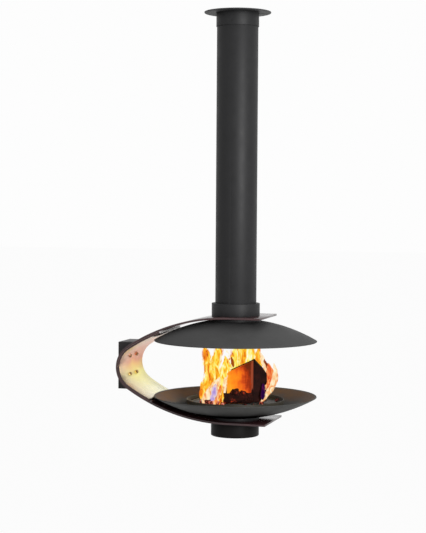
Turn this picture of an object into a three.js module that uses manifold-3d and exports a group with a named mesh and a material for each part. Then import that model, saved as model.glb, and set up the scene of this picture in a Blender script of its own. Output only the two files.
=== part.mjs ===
// A hanging fireplace. A wide C-shaped steel strap, bolted to a wall bracket, holds a spun hood above
// a spun hearth dish. The flue stands on the strap's upper tongue and the ash pot hangs below the lower one.
// Millimetres, +Z up. The origin is the centre of the wall bracket's back face, and +X points into the room.

import * as THREE from 'three';
import { mergeVertices } from 'three/addons/utils/BufferGeometryUtils.js';
import Module from 'manifold-3d';

const wasm = await Module();
wasm.setup();

// ---------------------------------------------------------------- driving dimensions

const seatGap = 0.3; // left between pieces that touch
const plate = 4; // sheet of the hood, the dish and the tray
const tubeWall = 3; // wall of the spigot, the chute, the collar and the pot

// Strap: a flat tongue, a long arc, a tight back arc, and the same mirrored below
const rimToWall = 225; // wall face to the rims of the hood and the dish
const strapBackX = 22; // wall face to the strap's outermost point
const strapHalfHeight = 323;
const strapThickness = 12;
const strapWidth = 424;
const backArcRadius = 155.3;
const longArcStart = 5; // beyond the flue axis
const upperTongueReach = 206; // beyond the flue axis
const lowerTongueReach = 243;

// Back liner: a second plate bent inside the strap
const linerThickness = 11.7;
const linerUnderHood = 75; // its upper end, in from the hood's rim
const linerUnderDish = 11; // its lower end, in from the dish's rim

// Wall bracket
const bracketWidth = 212;
const bracketHeight = 291;
const bracketPlate = 10;
const bossRadius = 18;
const bossDepth = 52;
const wallHoleRadius = 6.5;
const wallHoleSpacingY = 140;
const wallHoleSpacingZ = 228;

// Bolts through liner and strap into the bracket, square to the back arc
const boltRadius = 6;
const boltHoleRadius = 6.5;
const boltSpacingY = 120;
const boltSpacingZ = 116; // between the upper and the lower pair, on the liner's face
const boltHeadAcrossFlats = 19;
const boltHeadHeight = 7.5;
const boltThreadDepth = 20; // in the boss
const washerRadius = 12;
const washerThickness = 2.5;

// Hood and hearth dish: spun caps with a round hole
const bowlRadius = 500;
const hoodDepth = 133.5;
const hoodBelowStrap = 9; // its crown below the upper tongue
const dishDepth = 131;
const dishAboveStrap = 5.5; // its lowest point above the lower tongue

// Flue
const pipeRadius = 126;
const pipeWall = 2;
const ceilingZ = 2169.5;
const spigotClearance = 0.4; // spigot in the pipe, and spigot in the tongue's hole
const spigotRise = 60; // above the strap
const collarOverPipe = 21.5; // collar's radius beyond the pipe's
const collarHeight = 75.5;
const flangeOverlap = 2.5; // flanges' radius beyond the collar's and the pot's
const sleeveWall = 3.6;
const sleeveHeight = 88;
const rosetteRadius = 203.5;
const rosetteThickness = 6;
const rosetteEdge = 2; // its chamfer
const sleeveScrewRadius = 3;
const sleeveScrewDrop = 62; // below the ceiling
const sleeveScrewHead = 2; // beyond the sleeve

// Screws that hold the hood and the chute to the strap
const screwRadius = 4;
const screwHeadRadius = 6.5;
const screwHeadHeight = 5;
const screwClearance = 0.4; // in a plain hole
const threadClearance = 0.2; // in a threaded one
const screwEngagement = 9; // in the flange

// Damper
const spindleRadius = 5;
const spindleHoleRadius = 5.3;
const damperClearance = 3.6; // round the disc
const damperThickness = 3;
const damperHoleSpacing = 110;
const damperScrewRadius = 2.5;
const damperScrewHead = 2.5;
const damperScrewEnd = 2; // beyond the disc
const spindleEnd = 6; // beyond the pipe, and short of the knob's face
const knobRadius = 17;
const knobLength = 24;
const pointerWidth = 4;
const pointerHeight = 3; // above the knob's face
const bushRadius = 9;
const bushTubeRadius = 7;
const bushLength = 8;
const bushFlange = 3;
const runningClearance = 0.1; // spindle in its bush

// Chute, pot ring and ash pot
const chuteRadius = 100;
const chuteLip = 2; // above the dish's floor
const chuteDrop = 60; // below the strap
const chuteClearance = 0.4;
const potRadius = 147.5;
const potHeight = 91.3;
const potEdge = 5; // rounding of the pot's foot
const potRunningGap = 0.6;
const potRingHeight = 22;
const catchRadius = 4;
const catchLength = 16;
const catchDrop = 11; // below the strap

// Fire tray, its feet and its grate
const trayRadius = 300;
const trayBelowRim = 15; // tray lip below the dish's rim
const trayDepth = 30;
const trayOpeningRadius = 112;
const footRadius = 12;
const footInset = 50; // in from the tray's wall
const footClearance = 0.9; // over the dish's hollow floor
const grateRadius = 160;
const grateThickness = 10;
const grateRingWidth = 14;
const grateBarWidth = 9;
const grateBarPitch = 21;

// Logs
const largeLogPlan = [[-52, -20], [112, -75], [195, -25], [172, 95], [-30, 100]]; // to the side and back
const largeLogFront = [[-60, 0], [-60, 168], [118, 252], [200, 166], [200, 0]]; // to the side and up
const smallLogLength = 190;
const smallLogRadius = 34;
const frontLog = { side: 10, back: -126, heading: 0.12 };
const leftLog = { side: -128, back: 22, heading: 1.35 };
const logTurn = THREE.MathUtils.degToRad(15.5); // the pile faces the room's corner

// ---------------------------------------------------------------- worked out from them

const turn = 2 * Math.PI;
const longArcStep = turn / 180;
const backArcStep = turn / 52;
const flueAxisX = rimToWall + bowlRadius;
const strapTopZ = strapHalfHeight;
const tongueHoleRadius = pipeRadius - pipeWall;
const spigotRadius = tongueHoleRadius - spigotClearance;
const upperSeatZ = strapTopZ - strapThickness;
const lowerSeatZ = -upperSeatZ;
const strapFootZ = -strapTopZ;
const hoodRimZ = upperSeatZ - hoodBelowStrap - hoodDepth;
const dishRimZ = lowerSeatZ + dishAboveStrap + dishDepth;
const collarRadius = pipeRadius + collarOverPipe;
const hoodFlangeRadius = collarRadius + flangeOverlap;
const chuteFlangeRadius = potRadius + flangeOverlap;
const sleeveRadius = pipeRadius + spigotClearance + sleeveWall;
const damperRadius = spigotRadius - tubeWall - damperClearance;
const potRingRadius = potRadius - tubeWall - potRunningGap;
const hoodScrewCircle = (pipeRadius + collarRadius - tubeWall) / 2;
const chuteScrewCircle = (chuteRadius + potRingRadius) / 2;
const footCircleRadius = trayRadius - footInset;
const longArcX = flueAxisX + longArcStart;
const backArcX = strapBackX + backArcRadius;
const arcSpan = longArcX - backArcX;
const arcRise = strapHalfHeight - backArcRadius;
const longArcRadius = (arcSpan ** 2 + strapHalfHeight ** 2 - backArcRadius ** 2) / (2 * arcRise);
const longArcZ = strapHalfHeight - longArcRadius;
const joinAngle = Math.atan2(-longArcZ, backArcX - longArcX); // where the two arcs meet
const traySeatZ = dishRimZ - trayBelowRim - trayDepth; // underside of the tray's floor
const trayFloorZ = traySeatZ + plate;
const grateTopZ = trayFloorZ + seatGap + grateThickness;
const spindleZ = strapTopZ + collarHeight / 2;

// ---------------------------------------------------------------- helpers

function capHeight(depth, radius, inset) {
  // drop of a spherical cap from its crown, at a radius, on the face at an inset from the outer one
  const sphere = (bowlRadius ** 2 + depth ** 2) / (2 * depth);
  return sphere - Math.sqrt((sphere - inset) ** 2 - radius ** 2);
}

function hoodOuterZ(radius, inset = 0) {
  return hoodRimZ + hoodDepth - capHeight(hoodDepth, radius, inset);
}

function dishOuterZ(radius, inset = 0) {
  return dishRimZ - dishDepth + capHeight(dishDepth, radius, inset);
}

function steps(from, to, count) {
  return Array.from({ length: count + 1 }, (_, i) => from + ((to - from) * i) / count);
}

function revolve(profile, segments = 48) {
  // profile: [radius, z] corners of a closed section, in order round it
  const points = profile.map(([radius, z]) => new THREE.Vector2(Math.max(radius, 0), z));
  if (THREE.ShapeUtils.isClockWise(points)) points.reverse();
  points.push(points[0].clone());
  return new THREE.LatheGeometry(points, segments).rotateX(Math.PI / 2);
}

function rod(radius, from, to, segments = 16) {
  // round bar between two points
  const axis = new THREE.Vector3().subVectors(to, from);
  const bar = new THREE.CylinderGeometry(radius, radius, axis.length(), segments);
  const up = new THREE.Vector3(0, 1, 0);
  bar.applyQuaternion(new THREE.Quaternion().setFromUnitVectors(up, axis.normalize()));
  return bar.translate(...new THREE.Vector3().addVectors(from, to).multiplyScalar(0.5).toArray());
}

function upright(radius, x, y, fromZ, toZ, segments = 16) {
  return rod(radius, new THREE.Vector3(x, y, fromZ), new THREE.Vector3(x, y, toZ), segments);
}

function block(x0, x1, y0, y1, z0, z1) {
  const box = new THREE.BoxGeometry(x1 - x0, y1 - y0, z1 - z0);
  return box.translate((x0 + x1) / 2, (y0 + y1) / 2, (z0 + z1) / 2);
}

function sideways(outline, width) {
  // an outline drawn in X and Z, given a width along Y, centred
  const body = new THREE.ExtrudeGeometry(new THREE.Shape(outline), { depth: width, bevelEnabled: false });
  return body.rotateX(Math.PI / 2).translate(0, width / 2, 0);
}

function solid(shape) {
  // a closed mesh, or a solid that already is one
  if (!shape.isBufferGeometry) return shape;
  const bare = shape.clone();
  bare.deleteAttribute('normal');
  bare.deleteAttribute('uv');
  const merged = mergeVertices(bare, 1e-4);
  const corners = merged.index.array;
  const kept = [];
  for (let i = 0; i < corners.length; i += 3) {
    const [a, b, c] = [corners[i], corners[i + 1], corners[i + 2]];
    if (a !== b && b !== c && c !== a) kept.push(a, b, c);
  }
  const vertProperties = merged.attributes.position.array;
  return new wasm.Manifold(new wasm.Mesh({ numProp: 3, vertProperties, triVerts: Uint32Array.from(kept) }));
}

function combine(base, { join = [], cut = [], keep = null }) {
  let body = solid(base);
  for (const piece of join) body = body.add(solid(piece));
  for (const piece of cut) body = body.subtract(solid(piece));
  if (keep) body = body.intersect(solid(keep));
  return body;
}

function faces(shape) {
  if (shape.isBufferGeometry) return shape;
  const mesh = shape.getMesh();
  const geometry = new THREE.BufferGeometry();
  geometry.setAttribute('position', new THREE.BufferAttribute(mesh.vertProperties, 3));
  geometry.setIndex(new THREE.BufferAttribute(mesh.triVerts, 1));
  geometry.computeVertexNormals();
  return geometry;
}

function finish(color, roughness, metalness) {
  return () => new THREE.MeshStandardMaterial({ color, roughness, metalness });
}

const blackPaint = finish(0x343435, 0.55, 0.1);
const hoodPaint = finish(0x4d4d4d, 0.5, 0.15);
const strapSteel = finish(0x8c8787, 0.25, 0.9);
const bracketPaint = finish(0x2f2e2f, 0.6, 0.1);
const castIron = finish(0x2a2827, 0.8, 0.3);
const zincSteel = finish(0x6b6a68, 0.4, 0.8);
const charredWood = finish(0x2b1b14, 0.95, 0);
const knobBlack = finish(0x1c1c1c, 0.5, 0);

function piece(name, shape, material) {
  const mesh = new THREE.Mesh(faces(shape), material());
  mesh.name = name;
  return mesh;
}

// ---------------------------------------------------------------- strap, liner and bracket

function arc(x, z, radius, from, to, longestStep) {
  // points on an arc, both ends included
  const count = Math.ceil(Math.abs(to - from) / longestStep);
  return steps(from, to, count).map((angle) => {
    return new THREE.Vector2(x + radius * Math.cos(angle), z + radius * Math.sin(angle));
  });
}

function strapCurve(inset, upperAngle, lowerAngle) {
  // from the upper long arc round the back to the lower one, at an inset from the strap's outer face
  const long = longArcRadius - inset;
  return [
    ...arc(longArcX, longArcZ, long, upperAngle, joinAngle, longArcStep).slice(0, -1),
    ...arc(backArcX, 0, backArcRadius - inset, joinAngle, turn - joinAngle, backArcStep),
    ...arc(longArcX, -longArcZ, long, turn - joinAngle, lowerAngle, longArcStep).slice(1),
  ];
}

function withinStrap(inset) {
  // the space inside the strap at an inset from its outer face, measured from the flue axis
  const farX = flueAxisX + 2 * bowlRadius;
  const outline = [
    new THREE.Vector2(farX, strapTopZ - inset),
    ...strapCurve(inset, turn / 4, (3 * turn) / 4),
    new THREE.Vector2(farX, strapFootZ + inset),
  ];
  return sideways(outline, 2 * bowlRadius).translate(-flueAxisX, 0, 0);
}

function strapOuterZ(x) {
  // height of the upper tongue's top, x from the flue axis
  const beyond = Math.min(x - longArcStart, 0);
  return longArcZ + Math.sqrt(longArcRadius ** 2 - beyond ** 2);
}

function strapGeometry() {
  const outline = [
    new THREE.Vector2(flueAxisX + upperTongueReach, strapTopZ),
    ...strapCurve(0, turn / 4, (3 * turn) / 4),
    new THREE.Vector2(flueAxisX + lowerTongueReach, strapFootZ),
    new THREE.Vector2(flueAxisX + lowerTongueReach, lowerSeatZ),
    ...strapCurve(strapThickness, turn / 4, (3 * turn) / 4).reverse(),
    new THREE.Vector2(flueAxisX + upperTongueReach, upperSeatZ),
  ];
  const reach = 2 * strapThickness;
  const hole = (radius, z) => upright(radius, flueAxisX, 0, z - reach, z + reach, 48);
  const flueHole = hole(tongueHoleRadius, strapTopZ);
  const chuteHole = hole(chuteRadius + chuteClearance, strapFootZ);
  const cut = [flueHole, chuteHole, ...boltPlaces.map((place) => alongBolt(place, boltHoleRadius))];
  for (const [z, circle] of [[strapTopZ, hoodScrewCircle], [strapFootZ, chuteScrewCircle]]) {
    for (const [x, y] of screwPlaces(circle)) {
      cut.push(upright(screwRadius + screwClearance, flueAxisX + x, y, z - reach, z + reach, 12));
    }
  }
  return combine(sideways(outline, strapWidth), { cut });
}

function linerGeometry() {
  const outerInset = strapThickness + seatGap;
  const innerInset = outerInset + linerThickness;
  const upperReach = bowlRadius - linerUnderHood + longArcStart;
  const lowerReach = bowlRadius - linerUnderDish + longArcStart;
  const upperEnd = Math.acos(-upperReach / (longArcRadius - outerInset));
  const lowerEnd = turn - Math.acos(-lowerReach / (longArcRadius - outerInset));
  const inner = strapCurve(innerInset, upperEnd, lowerEnd).reverse();
  const outline = [...strapCurve(outerInset, upperEnd, lowerEnd), ...inner];
  const cut = boltPlaces.map((place) => alongBolt(place, boltHoleRadius));
  return combine(sideways(outline, strapWidth), { cut });
}

const linerFaceRadius = backArcRadius - strapThickness - seatGap - linerThickness;
const boltTilt = Math.asin(boltSpacingZ / 2 / linerFaceRadius);
const boltPlaces = [
  ['upper_near', -1, 1],
  ['upper_far', 1, 1],
  ['lower_near', -1, -1],
  ['lower_far', 1, -1],
].map(([name, side, level]) => ({ name, y: (side * boltSpacingY) / 2, tilt: level * boltTilt }));

function screwPlaces(circle) {
  return steps(1 / 8, 7 / 8, 3).map((share) => [
    circle * Math.cos(share * turn),
    circle * Math.sin(share * turn),
  ]);
}

function onBolt(place, radius) {
  // a point on a bolt's axis, at a radius from the back arc's centre
  const x = backArcX - radius * Math.cos(place.tilt);
  return new THREE.Vector3(x, place.y, radius * Math.sin(place.tilt));
}

const throughBolt = [0.6 * backArcRadius, backArcRadius + boltThreadDepth];

function alongBolt(place, radius, [from, to] = throughBolt, segments = 16) {
  return rod(radius, onBolt(place, from), onBolt(place, to), segments);
}

const washerSeat = washerRadius ** 2 / (2 * linerFaceRadius) + seatGap; // a flat washer on the hollow face
const washerBack = linerFaceRadius - washerSeat;
const headBack = washerBack - washerThickness - seatGap;

function washerGeometry(place) {
  const ring = alongBolt(place, washerRadius, [washerBack - washerThickness, washerBack]);
  return combine(ring, { cut: [alongBolt(place, boltHoleRadius)] });
}

function boltGeometry(place) {
  const cornerRadius = boltHeadAcrossFlats / 2 / Math.cos(Math.PI / 6);
  const shankEnd = backArcRadius + boltThreadDepth - 1;
  const head = alongBolt(place, cornerRadius, [headBack - boltHeadHeight, headBack], 6);
  const shank = alongBolt(place, boltRadius, [headBack - boltHeadHeight / 2, shankEnd]);
  return combine(head, { join: [shank] });
}

function bracketGeometry() {
  const half = bracketHeight / 2;
  const edgeAngle = Math.PI - Math.asin((half - longArcZ) / (longArcRadius + seatGap));
  const front = strapCurve(-seatGap, edgeAngle, turn - edgeAngle);
  const outline = [new THREE.Vector2(0, half), ...front, new THREE.Vector2(0, -half)];
  const inner = bracketWidth / 2 - bracketPlate;
  const innerHalf = half - bracketPlate;
  const body = sideways(outline, bracketWidth);
  const hollow = block(bracketPlate, backArcX, -inner, inner, -innerHalf, innerHalf);
  const bossFrom = backArcRadius - strapThickness;
  const bosses = boltPlaces.map((place) => alongBolt(place, bossRadius, [bossFrom, bossFrom + bossDepth], 24));
  const cut = boltPlaces.map((place) => alongBolt(place, boltRadius + threadClearance));
  for (const y of [-wallHoleSpacingY / 2, wallHoleSpacingY / 2]) {
    for (const z of [-wallHoleSpacingZ / 2, wallHoleSpacingZ / 2]) {
      const ends = [new THREE.Vector3(-1, y, z), new THREE.Vector3(bracketPlate + 1, y, z)];
      cut.push(rod(wallHoleRadius, ...ends, 16));
    }
  }
  const shell = combine(body, { cut: [hollow] });
  return combine(shell, { join: bosses.map((boss) => combine(boss, { keep: body })), cut });
}

// ---------------------------------------------------------------- hood, dish and flue

function bowlGeometry(faceZ, depth, holeRadius, flangeRadius) {
  // a spun cap of even plate: outer face, then the inner face parallel to it
  const sphere = (bowlRadius ** 2 + depth ** 2) / (2 * depth);
  const innerRim = bowlRadius * (1 - plate / sphere);
  const face = (rim, inset) => [holeRadius, ...steps(flangeRadius, rim, 5)].map((r) => [r, faceZ(r, inset)]);
  return revolve([...face(bowlRadius, 0), ...face(innerRim, plate).reverse()], 56);
}

function hoodSpigotGeometry() {
  const bore = spigotRadius - tubeWall;
  const foot = hoodOuterZ(spigotRadius) - plate;
  const tube = revolve([
    [bore, foot],
    [spigotRadius, foot],
    [spigotRadius, strapTopZ + spigotRise],
    [bore, strapTopZ + spigotRise],
  ]);
  const underside = steps(spigotRadius - 1, hoodFlangeRadius, 2).map((r) => [r, hoodOuterZ(r) + seatGap]);
  const flange = revolve([...underside, [hoodFlangeRadius, upperSeatZ], [spigotRadius - 1, upperSeatZ]]);
  const seated = combine(flange, { keep: withinStrap(strapThickness + seatGap) });
  const cut = screwPlaces(hoodScrewCircle).map(([x, y]) => {
    return upright(screwRadius + threadClearance, x, y, foot, upperSeatZ, 12);
  });
  return combine(tube, { join: [seated], cut: [...cut, acrossFlue(spindleHoleRadius)] });
}

function acrossFlue(radius, from = -1.2 * collarRadius, to = 1.2 * collarRadius, segments = 16) {
  // a bar across the flue at the damper spindle's height
  return rod(radius, new THREE.Vector3(0, from, spindleZ), new THREE.Vector3(0, to, spindleZ), segments);
}

function pipeGeometry() {
  // its foot is cut to stand on the strap
  const bore = pipeRadius - pipeWall;
  const foot = upperSeatZ - strapThickness;
  const tube = revolve([[bore, foot], [pipeRadius, foot], [pipeRadius, ceilingZ], [bore, ceilingZ]]);
  return combine(tube, { cut: [withinStrap(-seatGap), acrossFlue(spindleHoleRadius)] });
}

function collarGeometry() {
  const bore = pipeRadius + seatGap;
  const foot = upperSeatZ - strapThickness;
  const top = strapTopZ + collarHeight;
  const drum = revolve([
    [collarRadius - tubeWall, foot],
    [collarRadius, foot],
    [collarRadius, top],
    [bore, top],
    [bore, top - tubeWall],
    [collarRadius - tubeWall, top - tubeWall],
  ]);
  const bushHole = acrossFlue(bushTubeRadius + threadClearance, 0);
  return combine(drum, { cut: [withinStrap(-seatGap), bushHole] });
}

function sleeveGeometry() {
  const bore = pipeRadius + spigotClearance;
  const top = ceilingZ - rosetteThickness - seatGap;
  const foot = ceilingZ - sleeveHeight;
  const tube = revolve([[bore, foot], [sleeveRadius, foot], [sleeveRadius, top], [bore, top]]);
  return combine(tube, { cut: sleeveScrewAngles.map((angle) => sleeveScrew(angle, threadClearance)) });
}

const sleeveScrewAngles = steps(1 / 12, 9 / 12, 2).map((share) => share * turn);

function sleeveScrew(angle, clearance) {
  const at = (radius) => {
    const flat = new THREE.Vector2(radius, 0).rotateAround(new THREE.Vector2(), angle);
    return new THREE.Vector3(flat.x, flat.y, ceilingZ - sleeveScrewDrop);
  };
  return rod(sleeveScrewRadius + clearance, at(pipeRadius + seatGap), at(sleeveRadius + sleeveScrewHead), 12);
}

function rosetteGeometry() {
  const bore = pipeRadius + spigotClearance;
  const foot = ceilingZ - rosetteThickness;
  return revolve([
    [bore, foot],
    [rosetteRadius - rosetteEdge, foot],
    [rosetteRadius, foot + rosetteEdge],
    [rosetteRadius, ceilingZ],
    [bore, ceilingZ],
  ]);
}

function screwGeometry(x, y, seatZ, direction, endZ) {
  // a cap screw: its head stands on seatZ on the side that direction gives
  const headEnd = seatZ + direction * screwHeadHeight;
  const shank = upright(screwRadius, x, y, Math.min(endZ, headEnd), Math.max(endZ, headEnd), 12);
  const head = upright(screwHeadRadius, x, y, Math.min(seatZ, headEnd), Math.max(seatZ, headEnd), 16);
  return combine(head, { join: [shank] });
}

// ---------------------------------------------------------------- damper

const damperScrewPlaces = [-damperHoleSpacing / 2, damperHoleSpacing / 2];

function damperScrew(y, radius) {
  const length = spindleRadius + damperThickness + damperScrewEnd;
  return rod(radius, new THREE.Vector3(-length, y, spindleZ), new THREE.Vector3(length, y, spindleZ), 10);
}

function damperDiscGeometry() {
  // stands upright at rest, against the spindle's flat side: the damper is open
  const near = spindleRadius + seatGap;
  const from = new THREE.Vector3(near, 0, spindleZ);
  const disc = rod(damperRadius, from, from.clone().setX(near + damperThickness), 48);
  const holes = damperScrewPlaces.map((y) => damperScrew(y, damperScrewRadius + threadClearance));
  return combine(disc, { cut: holes });
}

function spindleGeometry() {
  const bar = acrossFlue(spindleRadius, -pipeRadius - spindleEnd, collarRadius + knobLength - spindleEnd);
  const holes = damperScrewPlaces.map((y) => damperScrew(y, damperScrewRadius + threadClearance));
  return combine(bar, { cut: holes });
}

function damperScrewGeometry(y) {
  const headTo = new THREE.Vector3(-spindleRadius - seatGap, y, spindleZ);
  const headFrom = headTo.clone().setX(headTo.x - damperScrewHead);
  const shankTo = headTo.clone().setX(spindleRadius + damperThickness + damperScrewEnd);
  return combine(rod(damperScrewRadius * 2, headFrom, headTo, 12), {
    join: [rod(damperScrewRadius, headFrom, shankTo, 10)],
  });
}

function bushGeometry() {
  const outside = collarRadius + seatGap;
  const flange = acrossFlue(bushRadius, outside, outside + bushFlange);
  const tube = acrossFlue(bushTubeRadius, outside - bushLength, outside + 1);
  const bore = acrossFlue(spindleRadius + runningClearance, 0, 1.2 * collarRadius, 32);
  return combine(flange, { join: [tube], cut: [bore] });
}

function knobGeometry() {
  const start = collarRadius + 2 * seatGap + bushFlange;
  const profile = [
    [0, start],
    [knobRadius * 0.6, start],
    [knobRadius * 0.6, start + knobLength * 0.3],
    [knobRadius, start + knobLength * 0.45],
    [knobRadius, start + knobLength * 0.85],
    [knobRadius * 0.85, start + knobLength],
    [0, start + knobLength],
  ];
  const body = revolve(profile, 32).rotateX(-Math.PI / 2).translate(0, 0, spindleZ);
  const half = pointerWidth / 2;
  const face = start + knobLength + pointerHeight;
  const pointer = block(-half, half, start + knobLength * 0.4, face, spindleZ, spindleZ + knobRadius * 0.8);
  const bore = acrossFlue(spindleRadius + runningClearance, 0, start + knobLength * 0.6);
  return combine(body, { join: [pointer], cut: [bore] });
}

// ---------------------------------------------------------------- chute, pot and catches

function chuteGeometry() {
  const bore = chuteRadius - tubeWall;
  const foot = strapFootZ - chuteDrop;
  const lip = dishOuterZ(chuteRadius) + plate + chuteLip;
  const tube = revolve([[bore, foot], [chuteRadius, foot], [chuteRadius, lip], [bore, lip]]);
  const top = steps(chuteFlangeRadius, chuteRadius - 1, 2).map((r) => [r, dishOuterZ(r) - seatGap]);
  const flange = revolve([[chuteRadius - 1, lowerSeatZ], [chuteFlangeRadius, lowerSeatZ], ...top]);
  const seated = combine(flange, { keep: withinStrap(strapThickness + seatGap) });
  const holeTop = lowerSeatZ + screwEngagement;
  const cut = screwPlaces(chuteScrewCircle).map(([x, y]) => {
    return upright(screwRadius + threadClearance, x, y, lowerSeatZ, holeTop, 12);
  });
  return combine(tube, { join: [seated], cut });
}

function potRingGeometry() {
  const foot = strapFootZ - seatGap - potRingHeight;
  const bore = chuteRadius + chuteClearance;
  const ring = revolve([[bore, foot], [potRingRadius, foot], [potRingRadius, lowerSeatZ], [bore, lowerSeatZ]]);
  const cut = screwPlaces(chuteScrewCircle).map(([x, y]) => {
    return upright(screwRadius + screwClearance, x, y, foot - 1, lowerSeatZ, 12);
  });
  const catches = catchAngles.map((angle) => potCatch(angle, threadClearance));
  return combine(ring, { cut: [withinStrap(-seatGap), ...cut, ...catches] });
}

const catchAngles = steps(0, 2 / 3, 2).map((share) => share * turn);

function potCatch(angle, clearance) {
  const nose = potRadius - tubeWall - seatGap;
  const at = (radius) => {
    const flat = new THREE.Vector2(radius, 0).rotateAround(new THREE.Vector2(), angle);
    return new THREE.Vector3(flat.x, flat.y, strapFootZ - catchDrop);
  };
  return rod(catchRadius + clearance, at(nose - catchLength), at(nose), 12);
}

function potGeometry() {
  const foot = strapFootZ - potHeight;
  const bore = potRadius - tubeWall;
  const corner = steps(-turn / 4, 0, 3).map((angle) => {
    return [potRadius - potEdge + potEdge * Math.cos(angle), foot + potEdge + potEdge * Math.sin(angle)];
  });
  const inside = [[bore, lowerSeatZ], [bore, foot + tubeWall], [0, foot + tubeWall]];
  const cup = revolve([[0, foot], ...corner, [potRadius, lowerSeatZ], ...inside]);
  return combine(cup, { cut: [withinStrap(-seatGap)] });
}

// ---------------------------------------------------------------- tray, feet, grate and logs

function trayGeometry() {
  const lipZ = dishRimZ - trayBelowRim;
  return revolve([
    [trayOpeningRadius, traySeatZ],
    [trayRadius - plate, traySeatZ],
    [trayRadius, traySeatZ + plate],
    [trayRadius, lipZ],
    [trayRadius - plate, lipZ],
    [trayRadius - plate, trayFloorZ],
    [trayOpeningRadius, trayFloorZ],
  ]);
}

function footGeometry(angle) {
  const x = footCircleRadius * Math.cos(angle);
  const y = footCircleRadius * Math.sin(angle);
  const floorZ = dishOuterZ(footCircleRadius + footRadius, plate) + footClearance;
  return upright(footRadius, x, y, floorZ, traySeatZ - seatGap, 16);
}

function grateGeometry() {
  const foot = trayFloorZ + seatGap;
  const bore = grateRadius - grateRingWidth;
  const ring = revolve([[bore, foot], [grateRadius, foot], [grateRadius, grateTopZ], [bore, grateTopZ]], 48);
  const barCount = 2 * Math.floor(bore / grateBarPitch) + 1;
  const first = -((barCount - 1) / 2) * grateBarPitch;
  const bars = steps(first, -first, barCount - 1).map((y) => {
    const reach = Math.sqrt((grateRadius - grateRingWidth / 2) ** 2 - y ** 2);
    return block(-reach, reach, y - grateBarWidth / 2, y + grateBarWidth / 2, foot, grateTopZ);
  });
  return combine(ring, { join: bars });
}

function largeLogGeometry() {
  // a split log standing on the grate with one edge to the room, its top sawn to two slopes
  const corners = (pairs) => pairs.map((pair) => new THREE.Vector2(...pair));
  const plan = new THREE.Shape(corners(largeLogPlan));
  const post = new THREE.ExtrudeGeometry(plan, { depth: 2 * bowlRadius, bevelEnabled: false });
  const profile = sideways(corners(largeLogFront), 2 * bowlRadius);
  return combine(post, { keep: profile }).translate([0, 0, grateTopZ + seatGap]);
}

function smallLogGeometry({ side, back, heading }) {
  const z = grateTopZ + seatGap + smallLogRadius;
  const along = new THREE.Vector3(smallLogLength / 2, 0, 0).applyEuler(new THREE.Euler(0, 0, heading));
  const middle = new THREE.Vector3(side, back, z);
  return rod(smallLogRadius, middle.clone().sub(along), middle.clone().add(along), 10);
}

// ---------------------------------------------------------------- assembly

const wallSide = new THREE.Group();
wallSide.add(
  piece('wall_bracket', bracketGeometry(), bracketPaint),
  piece('strap', strapGeometry(), strapSteel),
  piece('strap_liner', linerGeometry(), strapSteel),
);
for (const place of boltPlaces) {
  wallSide.add(piece(`liner_washer_${place.name}`, washerGeometry(place), zincSteel));
  wallSide.add(piece(`liner_bolt_${place.name}`, boltGeometry(place), zincSteel));
}

const hood = bowlGeometry(hoodOuterZ, hoodDepth, spigotRadius + seatGap, hoodFlangeRadius);
const dish = bowlGeometry(dishOuterZ, dishDepth, chuteRadius + seatGap, chuteFlangeRadius);
const column = new THREE.Group();
column.position.x = flueAxisX;
column.add(
  piece('hood', hood, hoodPaint),
  piece('hood_spigot', hoodSpigotGeometry(), blackPaint),
  piece('flue_pipe', pipeGeometry(), blackPaint),
  piece('flue_collar', collarGeometry(), blackPaint),
  piece('upper_sleeve', sleeveGeometry(), blackPaint),
  piece('ceiling_rosette', rosetteGeometry(), blackPaint),
  piece('damper_disc', damperDiscGeometry(), castIron),
  piece('damper_spindle', spindleGeometry(), zincSteel),
  piece('damper_bush', bushGeometry(), zincSteel),
  piece('damper_knob', knobGeometry(), knobBlack),
  piece('hearth_dish', dish, hoodPaint),
  piece('ash_chute', chuteGeometry(), blackPaint),
  piece('pot_ring', potRingGeometry(), castIron),
  piece('ash_pot', potGeometry(), blackPaint),
  piece('fire_tray', trayGeometry(), castIron),
  piece('grate', grateGeometry(), castIron),
);
sleeveScrewAngles.forEach((angle, i) => {
  column.add(piece(`sleeve_screw_${i + 1}`, sleeveScrew(angle, 0), zincSteel));
});
damperScrewPlaces.forEach((y, i) => {
  column.add(piece(`damper_screw_${i + 1}`, damperScrewGeometry(y), zincSteel));
});
catchAngles.forEach((angle, i) => {
  column.add(piece(`pot_catch_${i + 1}`, potCatch(angle, 0), zincSteel));
});
screwPlaces(hoodScrewCircle).forEach(([x, y], i) => {
  const seat = strapOuterZ(x + screwHeadRadius) + seatGap;
  const screw = screwGeometry(x, y, seat, 1, upperSeatZ - screwEngagement);
  column.add(piece(`hood_screw_${i + 1}`, screw, zincSteel));
});
screwPlaces(chuteScrewCircle).forEach(([x, y], i) => {
  const seat = strapFootZ - 2 * seatGap - potRingHeight;
  const screw = screwGeometry(x, y, seat, -1, lowerSeatZ + screwEngagement - 1);
  column.add(piece(`chute_screw_${i + 1}`, screw, zincSteel));
});
steps(1 / 8, 7 / 8, 3).forEach((share, i) => {
  column.add(piece(`tray_foot_${i + 1}`, footGeometry(share * turn), castIron));
});

const logPile = new THREE.Group();
logPile.rotation.z = logTurn;
logPile.add(
  piece('log_large', largeLogGeometry(), charredWood),
  piece('log_front', smallLogGeometry(frontLog), charredWood),
  piece('log_left', smallLogGeometry(leftLog), charredWood),
);
column.add(logPile);

const fireplace = new THREE.Group();
fireplace.add(wallSide, column);

export default fireplace;
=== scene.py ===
import math
import bmesh
import bpy
from mathutils import Matrix, Vector, noise


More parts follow.
